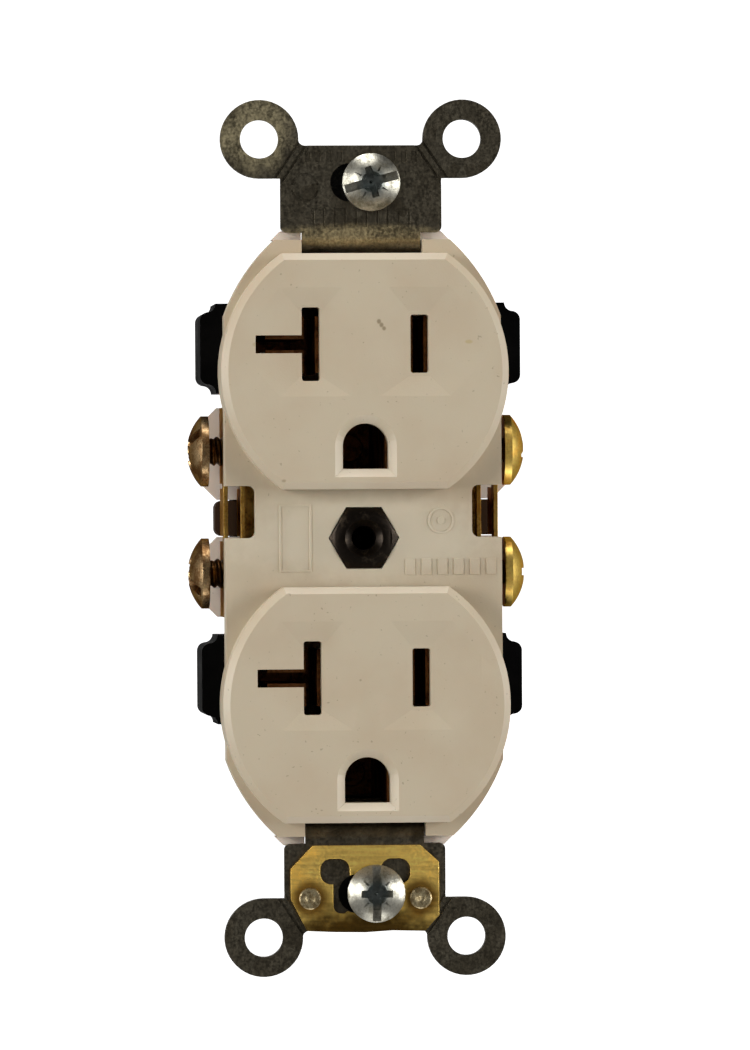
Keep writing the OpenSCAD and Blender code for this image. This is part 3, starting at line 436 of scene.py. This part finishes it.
def soften(node, width, segments=2, name=None, keep=None, crease=SMOOTH_ANGLE):
    """Stands a soft-edged copy in for a node; width is the bevel's width in millimetres.

    Edges that turn by less than the crease angle are shaded smooth and get no bevel."""
    shape = merged_copy(node, keep)
    for edge in shape.edges:
        edge.smooth = edge.calc_face_angle(math.pi) < crease
    for face in shape.faces:
        face.smooth = True
    mesh = bpy.data.meshes.new(name or node + "_soft")
    shape.to_mesh(mesh)
    shape.free()
    piece = add_piece(mesh.name, mesh, BODY_OF[node], [node], FINISHES[node])
    bevel = piece.modifiers.new("soft_edges", "BEVEL")
    bevel.width = width * MM
    bevel.segments = segments
    bevel.limit_method = "ANGLE"
    bevel.angle_limit = crease
    bevel.use_clamp_overlap = True
    bevel.harden_normals = True
    return piece


DISH_CREASE = math.radians(5)
COVER_EDGE = 0.20
EDGES = {"mounting_strap": 0.12, "terminal_frame": 0.12, "back_body": 0.15, "ground_clip": 0.05,
         "hex_post": 0.06, "neutral_terminal_strip": 0.08, "hot_terminal_strip": 0.08,
         "ground_clip_rivets": 0.06}
soften("front_cover", COVER_EDGE, segments=3, crease=DISH_CREASE)
for node, width in EDGES.items():
    piece = soften(node, width)
    print(piece.name, len(piece.data.polygons), "faces")

# %% [markdown]
# ## Screws
# A screw's head is turned and then struck with a driver recess, and its thread is rolled. The
# frame gives the heads; the thread is a surface of two parameters, the turn round the axis and the
# way along it, whose radius rises and falls in a sharp wave that climbs one pitch each turn.

# %% Threads
def thread_surface(major, depth, pitch, length, columns=40, rows_per_turn=10):
    """A threaded shank along +Z from 0 to length.

    The radius is the major radius less depth times a triangle wave of (z / pitch - turn); it tapers
    to the minor radius at both ends, and both ends are closed by a fan of the same points."""
    rows = int(length / pitch * rows_per_turn) + 1
    z = np.linspace(0, length, rows)[:, None]
    turn = np.arange(columns)[None, :] / columns
    wave = np.abs(2 * np.mod(z / pitch - turn, 1) - 1)
    taper = np.clip(np.minimum(z, length - z) / (0.9 * pitch), 0, 1)
    radius = (major - depth) + depth * np.clip(1.25 * wave, 0, 1) * taper
    x, y = radius * np.cos(2 * np.pi * turn), radius * np.sin(2 * np.pi * turn)
    side = np.stack([x, y, np.broadcast_to(z, x.shape)], axis=-1).reshape(-1, 3)
    points = np.vstack([side, [[0, 0, 0], [0, 0, length]]])
    row, column = np.meshgrid(np.arange(rows - 1), np.arange(columns), indexing="ij")
    nearby = (column + 1) % columns
    quads = np.stack([row * columns + column, row * columns + nearby,
                      (row + 1) * columns + nearby, (row + 1) * columns + column], axis=-1).reshape(-1, 4)
    around = np.arange(columns)
    after = (around + 1) % columns
    last = (rows - 1) * columns
    low_fan = np.stack([after, around, np.full(columns, rows * columns)], axis=-1)
    high_fan = np.stack([last + around, last + after, np.full(columns, rows * columns + 1)], axis=-1)
    return points, quads.tolist() + low_fan.tolist() + high_fan.tolist()


def along(points, origin, axis):
    """Turns points drawn along +Z so that +Z runs along axis from origin."""
    axis = np.array(axis, float)
    side = np.array([0.0, 0.0, 1.0]) if abs(axis[2]) < 0.9 else np.array([1.0, 0.0, 0.0])
    across = np.cross(side, axis)
    third = np.cross(axis, across)
    return points[:, :1] * across + points[:, 1:2] * third + points[:, 2:] * axis + np.array(origin)


def add_thread(node, origin, axis, major, depth, pitch, length, finish):
    """Adds the threaded shank of a screw node."""
    points, faces = thread_surface(major, depth, pitch, length)
    mesh = bpy.data.meshes.new(node + "_thread")
    mesh.from_pydata(along(points, origin, axis).tolist(), [], faces)
    mesh.shade_smooth()
    return add_piece(mesh.name, mesh, BODY_OF[node], [node], finish)


# %% [markdown]
# Each screw is split where its head ends: the head is a soft-edged copy, and the thread starts just
# inside it. The thread's crests reach exactly the radius that the frame gives to the shank.

# %% Build the screws
PITCH = 0.79
THREAD_DEPTH = 0.32
INTO_HEAD = 0.1
HEAD_EDGE = 0.07


def screw(node, axis_index, head_at_high, head_h, shank_r, finish):
    """Replaces a screw node by its head and a threaded shank on the same axis, in millimetres."""
    low, high = (np.array(corner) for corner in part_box(node))
    middle = (low + high) / 2
    inward = np.zeros(3)
    inward[axis_index] = -1.0 if head_at_high else 1.0
    top = middle.copy()
    top[axis_index] = high[axis_index] if head_at_high else low[axis_index]
    seat = top + inward * head_h * MM
    soften(node, HEAD_EDGE, name=node + "_head", keep=(tuple(seat), tuple(-inward)))
    length = abs((low if head_at_high else high)[axis_index] - seat[axis_index])
    start = seat - inward * INTO_HEAD * MM
    add_thread(node, start, inward, shank_r * MM, THREAD_DEPTH * MM, PITCH * MM,
               length + INTO_HEAD * MM, finish)
    print(node, "shank", round(length / MM, 2), "mm")


# Node: axis (0 is X, 1 is Y), whether the head is at its high end, head height, shank radius, finish
SCREWS = {
    "mounting_screw_top": (1, False, 2.3, 1.7, zinc_plate),
    "mounting_screw_bottom": (1, False, 2.3, 1.7, zinc_plate),
    "neutral_screw_upper": (0, False, 2.5, 1.75, dark_thread),
    "neutral_screw_lower": (0, False, 2.5, 1.75, dark_thread),
    "hot_screw_upper": (0, True, 2.5, 1.75, dark_thread),
    "hot_screw_lower": (0, True, 2.5, 1.75, dark_thread),
    "ground_screw": (1, True, 2.4, 1.75, green_coat),
}
for node, details in SCREWS.items():
    screw(node, *details)

# %% [markdown]
# ## The sweep and the lamps
# The sweep is a floor that bends up into a wall, a profile of a line, a quarter circle and a line
# carried sideways. Only a spot of it, right behind the outlet, glows paper white: a wide white wall
# would shine along every side face that the camera grazes. Soft lamps stand on the left and the right,
# well off the view axis, so the flat steel mirrors a dim room. A lamp above draws the bright upper
# bevels, one below opens the shade under the faces, and two narrow ones graze the sides.

# %% Sweep
FLOOR_Z = -1.3
WALL_Y = 2.6
BEND = 0.5
SPOT_HALF_WIDTH = 0.19
SPOT_HALF_HEIGHT = 0.26
SPOT_FADE = 1.35
SPOT_GLOW = 1.1
PAPER_GLOW = 0.10
SWEEP_HALF_WIDTH = 9.0
SWEEP_FRONT_Y = -9.0
SWEEP_TOP_Z = 4.0


def sweep_surface(half_width, front_y, top_z, bend_steps=12, columns=2):
    """The profile (floor, quarter bend, wall) in Y and Z, carried along X."""
    angle = np.linspace(0, np.pi / 2, bend_steps)
    y = np.concatenate([[front_y], WALL_Y - BEND + BEND * np.sin(angle), [WALL_Y]])
    z = np.concatenate([[FLOOR_Z], FLOOR_Z + BEND - BEND * np.cos(angle), [top_z]])
    x = np.linspace(-half_width, half_width, columns)
    points = np.stack([np.repeat(x, len(y)), np.tile(y, columns), np.tile(z, columns)], axis=-1)
    column, row = np.meshgrid(np.arange(columns - 1), np.arange(len(y) - 1), indexing="ij")
    first = column * len(y) + row
    faces = np.stack([first, first + len(y), first + len(y) + 1, first + 1], axis=-1).reshape(-1, 4)
    return points, faces


points, faces = sweep_surface(SWEEP_HALF_WIDTH, SWEEP_FRONT_Y, SWEEP_TOP_Z)
sweep_mesh = bpy.data.meshes.new("sweep")
sweep_mesh.from_pydata(points.tolist(), [], faces.tolist())
sweep_mesh.shade_smooth()
sweep = bpy.data.objects.new("sweep", sweep_mesh)
bpy.context.collection.objects.link(sweep)
paper = Shader("paper", Base_Color=(0.9, 0.9, 0.89, 1.0), Roughness=0.9, Emission_Strength=1.0)
spot_x = AIM[0] + WALL_Y * away[0] / away[1]
centred = paper.node("ShaderNodeMapping",
                     inputs={"Vector": paper.place, "Location": (-spot_x / SPOT_HALF_WIDTH, 0.0, 0.0),
                             "Scale": (1 / SPOT_HALF_WIDTH, 0.0, 1 / SPOT_HALF_HEIGHT)})
around = paper.node("ShaderNodeVectorMath", {"operation": "ABSOLUTE"}, {0: centred})
split = paper.node("ShaderNodeSeparateXYZ", inputs={0: around}).socket.node
sideways, upward = (Value(paper, split.outputs[axis]) for axis in "XZ")
glow = paper.ramp(sideways.greater(upward), 1.0, SPOT_FADE, SPOT_GLOW, PAPER_GLOW)
paper.feed(Emission_Color=glow)
sweep_mesh.materials.append(paper.material)

# %% Lamps
def lamp(name, place, size, power):
    """A rectangular soft lamp at place that shines on the origin."""
    data = bpy.data.lights.new(name, "AREA")
    data.shape = "RECTANGLE"
    data.size, data.size_y = size
    data.energy = power
    light = bpy.data.objects.new(name, data)
    light.location = place
    direction = -np.array(place)
    yaw = math.atan2(direction[0], direction[1])
    pitch = math.atan2(direction[2], math.hypot(direction[0], direction[1]))
    light.rotation_euler = (math.pi / 2 + pitch, 0.0, -yaw)
    bpy.context.collection.objects.link(light)


# Name: place, width and height in metres, power in watts
LAMPS = {
    "top_lamp": ((-0.10, -0.12, 0.70), (0.40, 0.26), 3.5),
    "low_lamp": ((0.05, -0.12, -0.60), (0.50, 0.25), 1.0),
    "left_lamp": ((-0.66, -0.56, 0.12), (0.30, 0.40), 3.6),
    "right_lamp": ((0.66, -0.56, 0.10), (0.30, 0.40), 3.1),
    "left_edge_lamp": ((-0.85, -0.12, 0.05), (0.16, 0.50), 2.6),
    "right_edge_lamp": ((0.85, -0.12, 0.05), (0.16, 0.50), 3.0),
}
for name, details in LAMPS.items():
    lamp(name, *details)

ROOM_COLOUR = (0.95, 0.93, 0.9, 1.0)
ROOM_STRENGTH = 0.05
world = bpy.data.worlds.new("room")
world.use_nodes = True
room = world.node_tree.nodes["Background"].inputs
room["Color"].default_value = ROOM_COLOUR
room["Strength"].default_value = ROOM_STRENGTH
bpy.context.scene.world = world
